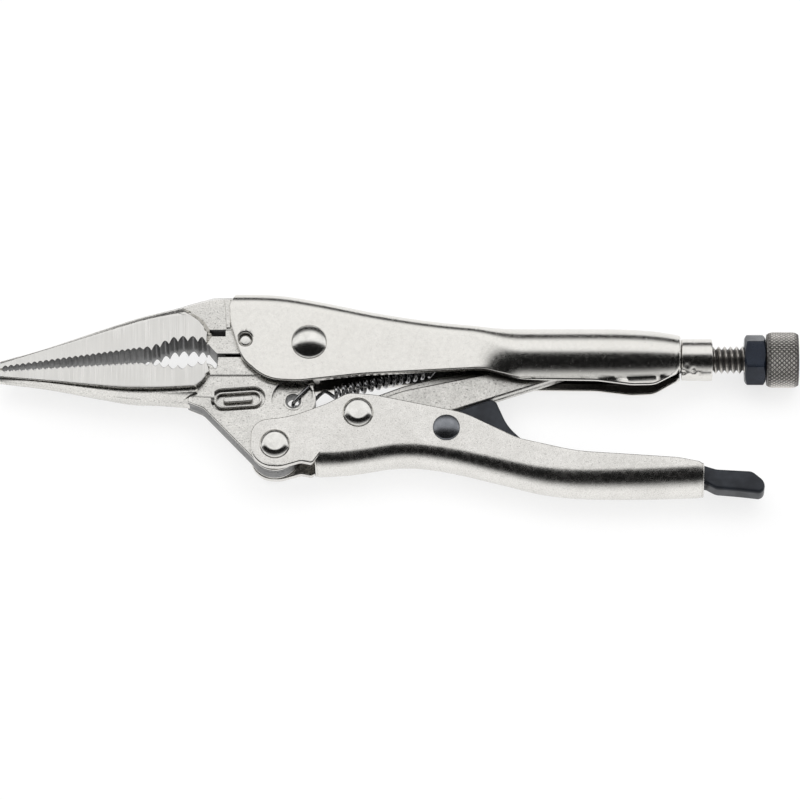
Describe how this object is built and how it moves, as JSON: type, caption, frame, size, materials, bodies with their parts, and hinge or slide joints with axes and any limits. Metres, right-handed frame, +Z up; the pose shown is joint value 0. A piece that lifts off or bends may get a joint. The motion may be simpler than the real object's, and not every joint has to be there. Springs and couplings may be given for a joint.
{
  "type": "locking pliers",
  "caption": "Long-nose locking pliers with toothed tapering jaws, wire cutter, toggle link, release lever and a knurled adjusting screw.",
  "frame": {"origin": "middle of the tool's footprint, on the surface it lies on", "axes": "+X from the jaw tips towards the adjusting knob, +Y from the lower handle towards the upper handle, +Z up, through the thickness"},
  "size_m": [0.2284, 0.0618, 0.0175],
  "materials": {
    "upper_handle_nickel": "satin nickel plate",
    "lower_handle_nickel": "coarse satin nickel plate",
    "collar_nickel": "satin nickel plate",
    "upper_jaw_steel": "nickel plate over ground flats",
    "lower_jaw_steel": "nickel plate over ground flats",
    "link_nickel": "satin nickel plate",
    "rivet_bright": "bright nickel plate",
    "pin_steel": "bright steel",
    "rivet_dark": "dark satin",
    "lever_black": "blackened",
    "nut_black": "black oxide",
    "spring_steel": "oil-darkened wire",
    "screw_steel": "plain steel, knurled knob"
  },
  "bodies": {
    "upper_body": {"upper_handle": "upper_handle_nickel", "upper_jaw": "upper_jaw_steel", "upper_jaw_pin": "pin_steel", "screw_collar": "collar_nickel", "main_rivet": "rivet_bright"},
    "jaw_body": {"lower_jaw": "lower_jaw_steel"},
    "handle_body": {"lower_handle": "lower_handle_nickel", "jaw_arm_rivet": "rivet_bright", "link_rivet": "rivet_bright", "lever_rivet": "rivet_dark"},
    "link_body": {"toggle_link": "link_nickel"},
    "lever_body": {"release_lever": "lever_black"},
    "spring_body": {"tension_spring": "spring_steel"},
    "nut_body": {"lock_nut": "nut_black"},
    "screw_body": {"adjusting_screw": "screw_steel"}
  },
  "joints": [
    {"name": "jaw_open", "type": "hinge", "parent": "upper_body", "child": "jaw_body", "pos_m": [-0.02545, 0.01471, 0.00876], "axis": [0, 0, 1], "range_deg": [0, 11.8]},
    {"name": "handle_swing", "type": "hinge", "parent": "jaw_body", "child": "handle_body", "pos_m": [-0.03505, -0.01659, 0.00876], "axis": [0, 0, 1], "range_deg": [-53.5, 0]},
    {"name": "link_swing", "type": "hinge", "parent": "handle_body", "child": "link_body", "pos_m": [-0.01145, -0.00689, 0.00876], "axis": [0, 0, 1], "range_deg": [0, 59.6]},
    {"name": "lever_press", "type": "hinge", "parent": "handle_body", "child": "lever_body", "pos_m": [0.01365, -0.01159, 0.00876], "axis": [0, 0, 1], "range_deg": [0, 8.1]},
    {"name": "spring_follow", "type": "hinge", "parent": "jaw_body", "child": "spring_body", "pos_m": [-0.02995, -0.00189, 0.00876], "axis": [0, 0, 1], "range_deg": [-9.7, 0]},
    {"name": "screw_travel", "type": "slide", "parent": "upper_body", "child": "nut_body", "axis": [1, 0, 0], "range_m": [0, 0.02]},
    {"name": "screw_turn", "type": "hinge", "parent": "nut_body", "child": "screw_body", "pos_m": [0.07255, 0.01151, 0.00876], "axis": [1, 0, 0], "range_deg": [0, 4236]}
  ],
  "couplings": [
    {"joint": "jaw_open", "follows": "handle_swing", "ratio": -0.2199},
    {"joint": "link_swing", "follows": "handle_swing", "ratio": -1.1124},
    {"joint": "lever_press", "follows": "handle_swing", "ratio": -0.15},
    {"joint": "spring_follow", "follows": "handle_swing", "ratio": 0.1807},
    {"joint": "screw_turn", "follows": "screw_travel", "rad_per_m": 3696}
  ]
}
